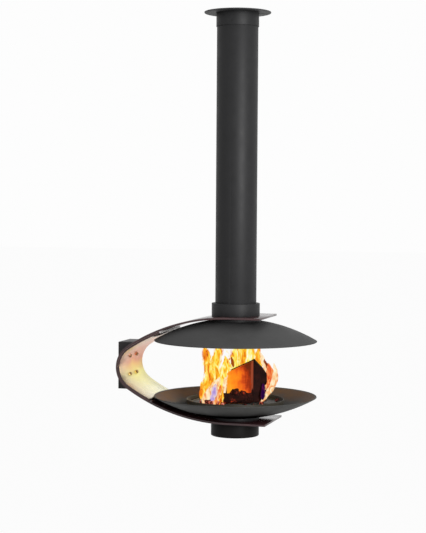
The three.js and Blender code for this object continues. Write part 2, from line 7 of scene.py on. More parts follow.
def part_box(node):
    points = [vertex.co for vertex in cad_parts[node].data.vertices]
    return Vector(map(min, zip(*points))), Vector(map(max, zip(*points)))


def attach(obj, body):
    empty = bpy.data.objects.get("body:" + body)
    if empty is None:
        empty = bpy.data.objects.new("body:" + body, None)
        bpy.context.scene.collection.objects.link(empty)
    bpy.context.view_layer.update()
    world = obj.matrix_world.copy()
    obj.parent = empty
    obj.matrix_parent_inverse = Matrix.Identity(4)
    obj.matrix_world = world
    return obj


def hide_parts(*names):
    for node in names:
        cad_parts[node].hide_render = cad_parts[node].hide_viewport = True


# A hanging fireplace: a bent strap on a wall bracket holds a round hood over a round hearth dish.
# Metres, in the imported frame: +X out of the wall, +Z up, the origin on the wall behind the bracket.
# The dictionaries give millimetres, and the marks of the finishes metres.

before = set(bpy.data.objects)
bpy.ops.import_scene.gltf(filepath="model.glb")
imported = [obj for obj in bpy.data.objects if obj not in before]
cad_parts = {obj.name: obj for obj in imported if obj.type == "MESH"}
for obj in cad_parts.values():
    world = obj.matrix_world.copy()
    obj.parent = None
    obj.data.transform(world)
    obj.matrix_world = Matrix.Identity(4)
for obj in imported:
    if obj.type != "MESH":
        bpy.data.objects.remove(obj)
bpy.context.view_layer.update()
mm = 0.001
turn = 2 * math.pi

pipeLow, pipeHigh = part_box("flue_pipe")
flueX = (pipeLow.x + pipeHigh.x) / 2
pileTurn = math.radians(15.5)  # the logs face the room's corner
pilePlace = Matrix.Translation((flueX, 0, 0)) @ Matrix.Rotation(pileTurn, 4, "Z")

# The photographer stood well to one side and a little further into the room, with the lens above the hood.
# The place is in metres and the turns are in degrees.
camera = {
    "place": (3.0309, -8.3316, 0.9839), "heading": 16.406, "down": 2.4017, "roll": 0.3606,
    "lens": 95.41, "sensor": 36,
}

lens = bpy.data.cameras.new("photoLens")
lens.lens = camera["lens"]
lens.sensor_width = camera["sensor"]
photoCamera = bpy.data.objects.new("photoCamera", lens)
bpy.context.scene.collection.objects.link(photoCamera)
photoCamera.matrix_world = (
    Matrix.Translation(camera["place"])
    @ Matrix.Rotation(math.radians(camera["heading"]), 4, "Z")
    @ Matrix.Rotation(math.radians(90 - camera["down"]), 4, "X")
    @ Matrix.Rotation(math.radians(camera["roll"]), 4, "Z")
)
bpy.context.scene.camera = photoCamera
bpy.context.scene.view_settings.view_transform = "Standard"
print("camera placed")


def linearColour(code):
    # an sRGB hex code as linear red, green, blue and a full alpha
    shares = [int(code[i:i + 2], 16) / 255 for i in (1, 3, 5)]
    return [c / 12.92 if c <= 0.04045 else ((c + 0.055) / 1.055) ** 2.4 for c in shares] + [1]


def addNode(tree, kind, inputs=None, stops=None, **settings):
    # a shader node with its settings, its ramp's stops, and its inputs: values, hex colours, nodes or sockets
    node = tree.nodes.new("ShaderNode" + kind)
    for key, value in settings.items():
        setattr(node, key, value)
    if stops:
        elements = node.color_ramp.elements
        while len(elements) < len(stops):
            elements.new(1)
        for element, (place, code) in zip(elements, stops):
            element.position = place
            element.color = linearColour(code)
    for key, value in (inputs or {}).items():
        if isinstance(value, bpy.types.Node):
            tree.links.new(value.outputs[0], node.inputs[key])
        elif isinstance(value, bpy.types.NodeSocket):
            tree.links.new(value, node.inputs[key])
        elif isinstance(value, str):
            node.inputs[key].default_value = linearColour(value)
        else:
            node.inputs[key].default_value = value
    return node


def newFinish(name, **values):
    # a material with its shader and the object's coordinates
    finish = bpy.data.materials.new(name)
    finish.use_nodes = True
    tree = finish.node_tree
    shader = tree.nodes["Principled BSDF"]
    for key, value in values.items():
        shader.inputs[key.replace("_", " ")].default_value = value
    return finish, tree, shader, addNode(tree, "TexCoord").outputs["Object"]


def wireUp(tree, shader, **patterns):
    # each pattern's first output goes to the shader's socket of that name
    for key, pattern in patterns.items():
        tree.links.new(pattern.outputs[0], shader.inputs[key.replace("_", " ")])


def seenShare(tree):
    # 1 for what the eye, a reflection or a glass sees, 0 for the light that falls on the object
    path = addNode(tree, "LightPath").outputs
    seen = addNode(tree, "Math", {0: path["Is Camera Ray"], 1: path["Is Glossy Ray"]}, operation="MAXIMUM")
    return addNode(tree, "Math", {0: seen, 1: path["Is Transmission Ray"]}, operation="MAXIMUM")


# Stage: a white floor well below the hearth, a white surround, and soft lamps

stage = {
    "floor": -1150, "floorHalf": 60000, "floorPaper": "#484848", "floorShade": 0.03,
    "surround": 0.2, "backdrop": "#fdfdfd",
}
lamps = [
    # name, place, aim, width and height in metres, watts, colour
    ("keyLamp", (4.6, -4.2, 1.6), (0.7, 0, 0.5), (1.2, 3.8), 352, "#ffffff"),
    ("fillLamp", (-1.2, -4.6, 1.6), (0.7, 0, 0.3), (3.0, 3.0), 7, "#ffffff"),
    ("highLamp", (0.7, -0.8, 4.6), (0.7, 0, 0), (2.4, 2.4), 7, "#ffffff"),
    ("fireGlow", (0.58, -0.03, -0.1), (0.12, 0.0, -0.155), (0.12, 0.06), 0.62, "#ffecd0"),
]

world = bpy.data.worlds.new("whiteSurround")
bpy.context.scene.world = world
world.use_nodes = True
tree = world.node_tree
seen = seenShare(tree)
soft = tree.nodes["Background"]
soft.inputs["Color"].default_value = (1, 1, 1, 1)
soft.inputs["Strength"].default_value = stage["surround"]
white = addNode(tree, "Background", {"Color": stage["backdrop"], "Strength": 1.0})
both = addNode(tree, "MixShader", {0: seen, 1: soft, 2: white})
tree.links.new(both.outputs[0], tree.nodes["World Output"].inputs["Surface"])

paperWhite = bpy.data.materials.new("paperWhite")
paperWhite.use_nodes = True
tree = paperWhite.node_tree
seen = seenShare(tree)
share = addNode(tree, "Math", {0: seen, 1: 1 - stage["floorShade"]}, operation="MULTIPLY")
paper = addNode(tree, "BsdfDiffuse", {"Color": stage["floorPaper"]})
lit = addNode(tree, "Emission", {"Color": "#ffffff", "Strength": 1.0})
both = addNode(tree, "MixShader", {0: share, 1: paper, 2: lit})
tree.links.new(both.outputs[0], tree.nodes["Material Output"].inputs["Surface"])

shape = bmesh.new()
bmesh.ops.create_grid(shape, x_segments=2, y_segments=2, size=stage["floorHalf"] * mm)
bmesh.ops.translate(shape, verts=shape.verts, vec=(0, 0, stage["floor"] * mm))
floorMesh = bpy.data.meshes.new("floor")
shape.to_mesh(floorMesh)
shape.free()
floorMesh.materials.append(paperWhite)
floor = bpy.data.objects.new("floor", floorMesh)
bpy.context.scene.collection.objects.link(floor)

for name, place, aim, size, watts, colour in lamps:
    lamp = bpy.data.lights.new(name, "AREA")
    lamp.shape = "RECTANGLE"
    lamp.size, lamp.size_y = size
    lamp.energy = watts
    lamp.color = linearColour(colour)[:3]
    lampObject = bpy.data.objects.new(name, lamp)
    lampObject.location = place
    lampObject.rotation_euler = (Vector(aim) - Vector(place)).to_track_quat("-Z", "Y").to_euler()
    lampObject.visible_camera = False
    bpy.context.scene.collection.objects.link(lampObject)
print("stage lit")


# Finishes

paint = {"cloud": 90, "peel": 5, "peelDepth": 0.6, "skin": 0.12, "uneven": 0.06}
noiseReach = {1: 0.3, 2: 0.7}  # a noise mostly stays between these
# marks in metres from the flue's axis: from, to, and the shares there
# painted shade on the hood round the flue, where the strap above shades it
hoodPaintedShade = {1: 0.2, 2: 0.38, 3: 0.45, 4: 0.0}
dishMarks = {
    # brown towards the rim: heat-scorched paint and painted firelight
    "scorchAndFirelightReach": {1: 0.42, 2: 0.52},
    "cleanRim": {1: 0.486, 2: 0.496, 3: 1.0, 4: 0.0},
    # painted shade on the dish's underside, darkest towards the flue
    "paintedShade": {1: 0.31, 2: 0.47, 3: 0.97, 4: 0.0},
    "sheen": {1: 0.31, 2: 0.49, 3: 0.0, 4: 0.2},
}


def flueRadius(tree, place):
    # the distance from the flue's axis
    centred = addNode(tree, "Mapping", {"Vector": place, "Location": (-flueX, 0, 0)})
    axes = addNode(tree, "SeparateXYZ", {0: centred}).outputs
    squares = [addNode(tree, "Math", {0: axes[i], 1: 2.0}, operation="POWER").outputs[0] for i in (0, 1)]
    both = addNode(tree, "Math", {0: squares[0], 1: squares[1]}, operation="ADD")
    return addNode(tree, "Math", {0: both, 1: 0.5}, operation="POWER").outputs[0]


def paintedShadeRound(tree, colour, radius, marks):
    # painted shade that fades out with the distance from the flue
    thick = addNode(tree, "MapRange", {0: radius, **marks}, interpolation_type="SMOOTHSTEP")
    return addNode(tree, "MixRGB", {"Fac": thick, "Color1": colour, "Color2": "#080707"})


def paintPatterns(tree, place, roughness, skin):
    # the clouding and the fine orange-peel skin of sprayed stove paint
    cloud = addNode(tree, "TexNoise", {
        "Vector": place, "Scale": 1 / (paint["cloud"] * mm), "Detail": 4, "Roughness": 0.6})
    # the peel is really about 1 mm across, drawn at 5 mm so that it shows
    peel = addNode(tree, "TexNoise", {"Vector": place, "Scale": 1 / (paint["peel"] * mm), "Detail": 2})
    rough = addNode(tree, "MapRange", {
        0: cloud, **noiseReach, 3: roughness - paint["uneven"], 4: roughness + paint["uneven"]})
    bump = addNode(tree, "Bump", {"Height": peel, "Strength": skin, "Distance": paint["peelDepth"] * mm})
    return cloud, peel, rough, bump


def sprayedPaint(name, dark, light, roughness, specular, skin=paint["skin"], paintedShade=None):
    # stove paint, sprayed and baked on sheet steel: matt, faintly clouded, with a fine orange-peel skin
    finish, tree, shader, place = newFinish(name, Specular_IOR_Level=specular)
    cloud, peel, rough, bump = paintPatterns(tree, place, roughness, skin)
    tone = addNode(tree, "MixRGB", {"Fac": 0.35, "Color1": cloud, "Color2": peel})
    colour = addNode(tree, "ValToRGB", {0: tone}, stops=[(0.3, dark), (0.7, light)])
    # painted shade round the flue, when marks for it are given
    if paintedShade:
        colour = paintedShadeRound(tree, colour, flueRadius(tree, place), paintedShade)
    wireUp(tree, shader, Base_Color=colour, Roughness=rough, Normal=bump)
    return finish


def bareMetal(name, dark, light, rough, grain, metallic=1.0, relief=0.2):
    # uncoated metal: patchy tone, eight grains wide, over a fine rough skin
    finish, tree, shader, place = newFinish(name, Metallic=metallic)
    patch = addNode(tree, "TexNoise", {"Vector": place, "Scale": 1 / (grain * 8 * mm), "Detail": 4})
    skin = addNode(tree, "TexNoise", {"Vector": place, "Scale": 1 / (grain * mm), "Detail": 3})
    tone = addNode(tree, "MixRGB", {"Fac": 0.4, "Color1": patch, "Color2": skin})
    colour = addNode(tree, "ValToRGB", {0: tone}, stops=[(0.32, dark), (0.68, light)])
    wear = addNode(tree, "MapRange", {0: patch, **noiseReach, 3: rough[0], 4: rough[1]})
    bump = addNode(tree, "Bump", {"Height": skin, "Strength": relief, "Distance": 0.4 * mm})
    wireUp(tree, shader, Base_Color=colour, Roughness=wear, Normal=bump)
    return finish


# name, the paint's darker and lighter tone, roughness, specular level
pipePaint = sprayedPaint("mattBlackStovePaint", "#1f1f20", "#29292a", 0.52, 0.22)
# the hood's paint carries painted shade round the flue
bowlPaint = sprayedPaint("greyStovePaint", "#454545", "#515151", 0.6, 0.1, paintedShade=hoodPaintedShade)
# the ceiling plate's paint is a lighter copy of the stove paint: painted light on the plate
platePaint = sprayedPaint("ceilingPlatePaint", "#3a3a3b", "#464647", 0.55, 0.2)
# the ash pot's paint is a darker copy of the stove paint: painted shade under the dish
potPaint = sprayedPaint("paintedShadeStovePaint", "#181716", "#211f1e", 0.5, 0.08)
bracketPaint = sprayedPaint("blackPowderCoat", "#221f20", "#2d2a2b", 0.5, 0.28, skin=0.3)
panPaint = sprayedPaint("brownedStovePaint", "#36322b", "#433f36", 0.5, 0.2)
# name, the metal's darker and lighter tone, its span of roughness, the grain in mm
castIron = bareMetal("mattCastIron", "#2b2a28", "#3a3936", (0.5, 0.68), 3, metallic=0.35, relief=0.5)
zincSteel = bareMetal("zincPlatedSteel", "#5c5a55", "#76746e", (0.32, 0.46), 1.5, metallic=0.9)
groundSteel = bareMetal("groundStainless", "#cfcbc9", "#e4e0de", (0.4, 0.52), 2, metallic=0.4, relief=0.1)
boltSteel = bareMetal("heatDarkenedSteel", "#7a6444", "#977f5c", (0.5, 0.65), 1.5, metallic=0.5)


def mouldedKnob(name):
    # phenolic plastic, moulded: near black, smooth, with a faint flow in the gloss
    finish, tree, shader, place = newFinish(name, IOR=1.55)
    flow = addNode(tree, "TexNoise", {"Vector": place, "Scale": 1 / (9 * mm), "Detail": 2, "Distortion": 0.6})
    colour = addNode(tree, "ValToRGB", {0: flow}, stops=[(0.3, "#161514"), (0.7, "#232120")])
    gloss = addNode(tree, "MapRange", {0: flow, 3: 0.28, 4: 0.42})
    wireUp(tree, shader, Base_Color=colour, Roughness=gloss)
    return finish


knobPlastic = mouldedKnob("blackPhenolic")


def dishPaint(name):
    # the bowls' paint, brown on the hollow side towards the rim: heat-scorched by the fire, and painted
    # firelight
    finish, tree, shader, place = newFinish(name, Specular_IOR_Level=0.1)  # where the sheen isn't read
    cloud, _, rough, bump = paintPatterns(tree, place, 0.6, paint["skin"])
    plain = addNode(tree, "ValToRGB", {0: cloud}, stops=[(0.3, "#434341"), (0.7, "#4f4f4c")])
    brown = addNode(tree, "ValToRGB", {0: cloud}, stops=[(0.3, "#573f2a"), (0.7, "#6a5036")])
    radius = flueRadius(tree, place)
    # the brown on the hollow side: heat-scorched paint and painted firelight from the fire
    uneven = addNode(tree, "Math", {0: cloud, 1: 0.12, 2: radius}, operation="MULTIPLY_ADD")
    reach = addNode(tree, "MapRange", {0: uneven, **dishMarks["scorchAndFirelightReach"]}, interpolation_type="SMOOTHSTEP")
    up = addNode(tree, "NewGeometry").outputs["Normal"]
    facing = addNode(tree, "SeparateXYZ", {0: up}).outputs[2]
    hollow = addNode(tree, "MapRange", {0: facing, 1: 0.0, 2: 0.3})
    clean = addNode(tree, "MapRange", {0: radius, **dishMarks["cleanRim"]})
    scorchAndFirelight = addNode(tree, "Math", {0: reach, 1: hollow}, operation="MULTIPLY")
    scorchAndFirelight = addNode(tree, "Math", {0: scorchAndFirelight, 1: clean}, operation="MULTIPLY")
    colour = addNode(tree, "MixRGB", {"Fac": scorchAndFirelight, "Color1": plain, "Color2": brown})
    # painted shade darkens the underside towards the flue, over the strap below it
    underPaintedShade = paintedShadeRound(tree, colour, radius, dishMarks["paintedShade"])
    below = addNode(tree, "MapRange", {0: facing, 1: -0.4, 2: -0.1, 3: 1.0, 4: 0.0})
    colour = addNode(tree, "MixRGB", {"Fac": below, "Color1": colour, "Color2": underPaintedShade})
    sheen = addNode(tree, "MapRange", {0: radius, **dishMarks["sheen"]})
    wireUp(tree, shader, Base_Color=colour, Roughness=rough, Specular_IOR_Level=sheen, Normal=bump)
    return finish


scorchedFirelitPaint = dishPaint("scorchedAndFirelitStovePaint")


def strapFinish(name):
    # burgundy-black lacquer, sprayed and polished: dark from the front, mirror-bright at a low angle
    finish, tree, shader, place = newFinish(name, Specular_IOR_Level=0.5)
    cloud = addNode(tree, "TexNoise", {"Vector": place, "Scale": 1 / (70 * mm), "Detail": 3})
    colour = addNode(tree, "ValToRGB", {0: cloud}, stops=[(0.3, "#382124"), (0.7, "#452a2b")])
    gloss = addNode(tree, "MapRange", {0: cloud, **noiseReach, 3: 0.14, 4: 0.2})
    wave = addNode(tree, "TexNoise", {"Vector": place, "Scale": 1 / (14 * mm), "Detail": 2})
    bump = addNode(tree, "Bump", {"Height": wave, "Strength": 0.005, "Distance": 0.5 * mm})
    wireUp(tree, shader, Base_Color=colour, Roughness=gloss, Normal=bump)
    return finish


strapLacquer = strapFinish("burgundyLacquer")


def grindingLines(tree, place, size):
    # grinding lines are about 0.2 mm apart, drawn at 3 mm so that they show; size gives the axes in mm
    lines = addNode(tree, "Mapping", {"Vector": place, "Scale": tuple(1 / (length * mm) for length in size)})
    return addNode(tree, "TexNoise", {"Vector": lines, "Scale": 1.0, "Detail": 3})


def satinSteel(name):
    # stainless sheet, ground fine across its width: satin, pale, with faint lines
    finish, tree, shader, place = newFinish(name, Metallic=1.0)
    brush = grindingLines(tree, place, (3, 70, 3))
    colour = addNode(tree, "ValToRGB", {0: brush}, stops=[(0.3, "#d2cecd"), (0.7, "#e8e4e2")])
    rough = addNode(tree, "MapRange", {0: brush, **noiseReach, 3: 0.14, 4: 0.22})
    wireUp(tree, shader, Base_Color=colour, Roughness=rough)
    return finish


strapInside = satinSteel("satinStainless")

linerMarks = {
    # in metres up the liner and across it, and the polish by the share of the tint
    "tint": {1: -0.22, 2: 0.33},
    "paleSide": {1: 0.1, 2: -0.24, 3: 0.0, 4: 0.7},
    "polish": {1: 0.1, 2: 0.4, 3: 0.13, 4: 0.0},
}
# up the liner: heat tints, and a painted reflection of the flames
heatTintsAndFireReflection = [
    (0.0, "#fffdf0"), (0.16, "#fffbd2"), (0.36, "#fff490"), (0.46, "#fccb72"), (0.53, "#ee9f74"),
    (0.7, "#e6b49a"), (0.85, "#e3d3be"), (1.0, "#e6dfd2"),
]


def linerFinish(name):
    # stainless sheet, ground fine along its length, with straw, rose and pale yellow tints: heat tints, and a
    # painted reflection of the flames
    finish, tree, shader, place = newFinish(name, Metallic=0.85)
    axes = addNode(tree, "SeparateXYZ", {0: place}).outputs
    drift = addNode(tree, "TexNoise", {"Vector": place, "Scale": 1 / (120 * mm), "Detail": 2})
    level = addNode(tree, "Math", {0: drift, 1: 0.09, 2: axes[2]}, operation="MULTIPLY_ADD")
    # the tints up the liner: heat tints, and a painted reflection of the flames
    share = addNode(tree, "MapRange", {0: level, **linerMarks["tint"]})
    tint = addNode(tree, "ValToRGB", {0: share}, stops=heatTintsAndFireReflection)
    pale = addNode(tree, "MapRange", {0: axes[1], **linerMarks["paleSide"]}, interpolation_type="SMOOTHSTEP")
    colour = addNode(tree, "MixRGB", {"Fac": pale, "Color1": tint, "Color2": "#e0cfc2"})
    brush = grindingLines(tree, place, (60, 3, 60))
    rough = addNode(tree, "MapRange", {0: brush, **noiseReach, 3: 0.3, 4: 0.42})
    bump = addNode(tree, "Bump", {"Height": brush, "Strength": 0.003, "Distance": 0.3 * mm})
    # polished brighter towards its foot
    polish = addNode(tree, "MapRange", {0: share, **linerMarks["polish"]})
    gloss = addNode(tree, "Math", {0: rough, 1: polish}, operation="SUBTRACT")
    wireUp(tree, shader, Base_Color=colour, Roughness=gloss, Normal=bump)
    return finish


linerSteel = linerFinish("heatTintedFirelitStainless")

splitMarks = {
    # in metres in the pile's frame: where the large log glows, its corner, and the char round its foot
    "glow": {1: 0.0, 2: 0.2},
    "corner": {1: 0.12, 2: 0.127},
    "footHeight": {1: -0.1, 2: -0.2, 3: 0.0, 4: 0.045},
    "footChar": {1: 0.139, 2: 0.147, 3: 1.0, 4: 0.0},
    "leftFace": {1: 0.106, 2: 0.112, 3: 1.0, 4: 0.0},
    "front": {1: 0.05, 2: 0.02},
}
splitGlow = [
    (0.0, "#ffb42c"), (0.25, "#ff991c"), (0.5, "#fb7a16"), (0.66, "#dd5316"), (0.8, "#a63208"),
    (1.0, "#6a2408"),
]


def largeLogFinish(name):
    # split wood alight: the face to the left glows through its grain, the rest is charred
    finish, tree, shader, place = newFinish(
        name, Roughness=0.9, Specular_IOR_Level=0.15, Emission_Strength=1.0)
    pile = addNode(tree, "Mapping", {
        "Vector": place, "Location": (flueX, 0, 0), "Rotation": (0, 0, pileTurn)},
        vector_type="TEXTURE").outputs[0]
    axes = addNode(tree, "SeparateXYZ", {0: pile}).outputs
    # fibres stand upright, a few millimetres apart
    fibre = addNode(tree, "Mapping", {"Vector": pile, "Scale": (1 / (9 * mm), 1 / (9 * mm), 1 / (70 * mm))})
    grain = addNode(tree, "TexNoise", {"Vector": fibre, "Scale": 1.0, "Detail": 4})
    blot = addNode(tree, "TexNoise", {"Vector": pile, "Scale": 1 / (55 * mm), "Detail": 3})
    across = addNode(tree, "Math", {0: grain, 1: 0.05, 2: axes[0]}, operation="MULTIPLY_ADD")
    hotter = addNode(tree, "Math", {0: axes[2], 1: 0.28, 2: across}, operation="MULTIPLY_ADD")
    patchy = addNode(tree, "Math", {0: blot, 1: 0.16, 2: hotter}, operation="MULTIPLY_ADD")
    share = addNode(tree, "MapRange", {0: patchy, **splitMarks["glow"]})
    glow = addNode(tree, "ValToRGB", {0: share}, stops=splitGlow)
    corner = addNode(tree, "MapRange", {0: across, **splitMarks["corner"]},
                     interpolation_type="SMOOTHSTEP")
    glow = addNode(tree, "MixRGB", {"Fac": corner, "Color1": glow, "Color2": "#9a452a"})
    # near the foot the char reaches round the corner
    depth = addNode(tree, "MapRange", {0: axes[2], **splitMarks["footHeight"]})
    charred = addNode(tree, "Math", {0: across, 1: depth}, operation="ADD")
    foot = addNode(tree, "MapRange", {0: charred, **splitMarks["footChar"]})
    left = addNode(tree, "MapRange", {0: axes[0], **splitMarks["leftFace"]})
    left = addNode(tree, "Math", {0: left, 1: foot}, operation="MULTIPLY")
    front = addNode(tree, "MapRange", {0: axes[1], **splitMarks["front"]})
    alight = addNode(tree, "Math", {0: left, 1: front}, operation="MULTIPLY")
    heat = addNode(tree, "MixRGB", {"Fac": alight, "Color1": "#050101", "Color2": glow})
    char = addNode(tree, "ValToRGB", {0: blot}, stops=[(0.35, "#120504"), (0.7, "#2e110d")])
    bump = addNode(tree, "Bump", {"Height": grain, "Strength": 0.6, "Distance": 2 * mm})
    wireUp(tree, shader, Base_Color=char, Emission_Color=heat, Normal=bump)
    return finish


def charredFinish(name, dark, light, glow, share, size):
    # charred wood: checked into blocks of this size in mm, with embers in the checks over a share of it
    finish, tree, shader, place = newFinish(
        name, Roughness=0.92, Specular_IOR_Level=0.15, Emission_Strength=1.0)
    blot = addNode(tree, "TexNoise", {"Vector": place, "Scale": 1 / (size * 1.6 * mm), "Detail": 4})
    checks = addNode(tree, "TexVoronoi", {"Vector": place, "Scale": 1 / (size * mm)},
                     feature="DISTANCE_TO_EDGE")
    char = addNode(tree, "ValToRGB", {0: blot}, stops=[(0.35, dark), (0.7, light)])
    crack = addNode(tree, "MapRange", {0: checks.outputs["Distance"], 1: 0.0, 2: 0.16, 3: 1.0, 4: 0.0})
    hot = addNode(tree, "MapRange", {0: blot, 1: 0.62 - share * 0.4, 2: 0.72 - share * 0.3})
    lit = addNode(tree, "Math", {0: hot, 1: crack}, operation="MULTIPLY")
    lit = addNode(tree, "Math", {0: hot, 1: share, 2: lit}, operation="MULTIPLY_ADD")
    heat = addNode(tree, "ValToRGB", {0: lit}, stops=[(0.0, "#000000"), (0.5, glow[0]), (1.0, glow[1])])
    bump = addNode(tree, "Bump", {"Height": checks.outputs["Distance"], "Strength": 0.5, "Distance": 3 * mm})
    wireUp(tree, shader, Base_Color=char, Emission_Color=heat, Normal=bump)
    return finish


largeLogWood = largeLogFinish("burningSplitWood")
smallLogWood = charredFinish("charredBark", "#1c0906", "#3c1710", ("#5a1408", "#c23a10"), 0.15, 22)
coal = charredFinish("greyCharcoal", "#35312e", "#4a443f", ("#3a0f08", "#7a1c10"), 0.05, 9)
redCoal = charredFinish("redCharcoal", "#3a1a18", "#5a2a26", ("#5a1410", "#a03020"), 0.1, 9)
ember = charredFinish("glowingEmber", "#3a1410", "#6a2e22", ("#a8402c", "#eeb09a"), 0.42, 12)

flameMarks = {
    # how gusts cool a flame, and how what is left of it turns solid
    "gusts": {1: 0.33, 2: 0.68, 3: 0.0, 4: 0.8},
    "solid": {1: -0.16, 2: 0.14},
}


def flameFinish(name, stops, rim=0.12, thin=0.2, tear=0.5, shift=0.0):
    # burning gas, not a surface: it only glows, streaked upwards, torn and clear towards its edge and tip.
    # rim cools its edge, thin and tear open it, and shift moves its streaks by metres.
    finish, tree, shader, place = newFinish(
        name, Roughness=1.0, Specular_IOR_Level=0.0, Emission_Strength=1.0)
    shader.inputs["Base Color"].default_value = (0, 0, 0, 1)
    own = addNode(tree, "UVMap", uv_map="flow").outputs[0]
    flow = addNode(tree, "SeparateXYZ", {0: own}).outputs  # x to the flame's edge, y up it
    streak = addNode(tree, "Mapping", {
        "Vector": place, "Location": (shift, 0, 0), "Scale": (1 / (22 * mm), 1 / (22 * mm), 1 / (75 * mm))})
    gusts = addNode(tree, "TexNoise", {"Vector": streak, "Scale": 1.0, "Detail": 2, "Distortion": 1.1})
    fine = addNode(tree, "TexNoise", {"Vector": streak, "Scale": 1.5, "Detail": 1.5, "Distortion": 0.6})
    edge = addNode(tree, "Math", {0: flow[0], 1: 2.0}, operation="POWER")
    cool = addNode(tree, "Math", {0: edge, 1: rim}, operation="MULTIPLY")
    level = addNode(tree, "MapRange", {0: gusts, **flameMarks["gusts"]})
    heat = addNode(tree, "Math", {0: cool, 1: level}, operation="ADD")
    colour = addNode(tree, "ValToRGB", {0: heat}, stops=stops)
    tip = addNode(tree, "Math", {0: flow[1], 1: 5.0}, operation="POWER")
    worn = addNode(tree, "Math", {0: tip, 1: 0.2, 2: thin}, operation="MULTIPLY_ADD")
    frayed = addNode(tree, "Math", {0: edge, 1: tear, 2: worn}, operation="MULTIPLY_ADD")
    left = addNode(tree, "Math", {0: fine, 1: frayed}, operation="SUBTRACT")
    solid = addNode(tree, "MapRange", {0: left, **flameMarks["solid"]}, interpolation_type="SMOOTHSTEP")
    wireUp(tree, shader, Emission_Color=colour, Alpha=solid)
    return finish


yellowFlame = flameFinish("yellowFlame", [
    (0.0, "#fffbd0"), (0.2, "#fff48a"), (0.42, "#ffdc45"), (0.6, "#fdb022"), (0.78, "#ee7d1a"),
    (1.0, "#9a4210")])
paleFlame = flameFinish("paleFlame", [
    (0.0, "#fffff0"), (0.3, "#fffab8"), (0.6, "#ffec60"), (0.85, "#fdc53a"), (1.0, "#e08a24")], shift=0.07)
orangeFlame = flameFinish("orangeFlame", [
    (0.0, "#fff08a"), (0.25, "#ffc83a"), (0.5, "#fb9520"), (0.75, "#e0661a"), (1.0, "#8a3410")], shift=0.1)
redFlame = flameFinish("redFlame", [
    (0.0, "#ffd9a0"), (0.25, "#fba45c"), (0.5, "#f27a40"), (0.75, "#e2502c"), (1.0, "#b03018")], shift=0.13)
curlFlame = flameFinish("curlingFlame", [
    (0.0, "#fff6d8"), (0.35, "#ffe0ae"), (0.65, "#fbb878"), (0.85, "#f08a4c"), (1.0, "#c85a28")], shift=0.21)
violetFlame = flameFinish("violetFlame", [
    (0.0, "#ab8ed4"), (0.35, "#bfa4de"), (0.6, "#d8c0dc"), (0.8, "#f0d4c8"), (1.0, "#f0b090")],
    rim=0.6, thin=0.12, tear=0.55, shift=0.3)
deepViolet = flameFinish("deepVioletFlame", [
    (0.0, "#1e0440"), (0.4, "#34093f"), (0.7, "#4a1048"), (1.0, "#702040")],
    rim=0.5, thin=0.24, tear=0.7, shift=0.4)
brownWisp = flameFinish("sootyWisp", [
    (0.0, "#c8701c"), (0.4, "#a4480f"), (0.7, "#80300c"), (1.0, "#5c2008")],
    rim=0.1, thin=0.22, tear=0.75, shift=0.5)
print("finishes mixed")


# Making pieces

def putUp(shape, name, finish, body, nodes=(), sharp=38):
    # the finished shape becomes a piece that rides on its body and stands for its nodes
    mesh = bpy.data.meshes.new(name)
    shape.to_mesh(mesh)
    shape.free()
    mesh.materials.append(finish)
    mesh.shade_smooth()
    mesh.set_sharp_from_angle(angle=math.radians(sharp))
    piece = bpy.data.objects.new(name, mesh)
    bpy.context.scene.collection.objects.link(piece)
    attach(piece, body)
    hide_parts(*nodes)
    return piece


def roundEdges(shape, offset, sharp=30):
    # edges sharper than this many degrees
    corners = [e for e in shape.edges if len(e.link_faces) == 2 and e.calc_face_angle() > math.radians(sharp)]
    bmesh.ops.bevel(shape, geom=corners, offset=offset * mm, offset_type="OFFSET", affect="EDGES",
                    segments=2, profile=0.5, material=-1, clamp_overlap=True)


def spun(profile, edge, segments):
    # a closed section, (radius, height) in mm, spun about the flue's axis; an edge of 0 stays sharp
    shape = bmesh.new()
    ring = [shape.verts.new((flueX + r * mm, 0, z * mm)) for r, z in profile]
    for here, there in zip(ring, ring[1:] + ring[:1]):
        shape.edges.new((here, there))
    bmesh.ops.spin(shape, geom=shape.verts[:] + shape.edges[:], cent=(flueX, 0, 0), axis=(0, 0, 1),
                   dvec=(0, 0, 0), angle=turn, steps=segments, use_merge=True, use_duplicate=False)
    bmesh.ops.remove_doubles(shape, verts=shape.verts, dist=0.001 * mm)
    bmesh.ops.recalc_face_normals(shape, faces=shape.faces)
    if edge:
        roundEdges(shape, edge)
    return shape


def refined(node, edge):
    # the node's own mesh, merged, its flat faces joined and its edges rounded
    shape = bmesh.new()
    shape.from_mesh(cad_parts[node].data)
    bmesh.ops.remove_doubles(shape, verts=shape.verts, dist=0.01 * mm)
    bmesh.ops.dissolve_limit(shape, angle_limit=math.radians(0.4), verts=shape.verts, edges=shape.edges)
    if edge:
        roundEdges(shape, edge)
    return shape


def steps(start, end, count):
    # count + 1 even places from start to end
    return [start + (end - start) * i / count for i in range(count + 1)]


# Hood and dish: spun steel caps, each cut from a ball

bowl = {"radius": 500, "plate": 4, "edge": 1.2, "rings": 28, "around": 160}
hood = {"rim": 168.5, "depth": 133.5, "hole": 123.9}
dish = {"rim": -174.5, "depth": 131, "hole": 100.3}


def ballRadius(depth):
    return (bowl["radius"] ** 2 + depth ** 2) / (2 * depth)


def capDrop(depth, radius, inset):
    # how far the cap has dropped from its crown at this radius
    ball = ballRadius(depth)
    return ball - math.sqrt((ball - inset) ** 2 - radius ** 2)


def bowlProfile(cap, sign):
    # sign is 1 for the hood, crown up, and -1 for the dish
    depth = cap["depth"]
    innerRim = bowl["radius"] * (1 - bowl["plate"] / ballRadius(depth))

    def face(rim, inset):
        heights = []
        for radius in steps(cap["hole"], rim, bowl["rings"]):
            heights.append((radius, cap["rim"] + sign * (depth - capDrop(depth, radius, inset))))
        return heights

    return face(bowl["radius"], 0) + face(innerRim, bowl["plate"])[::-1]


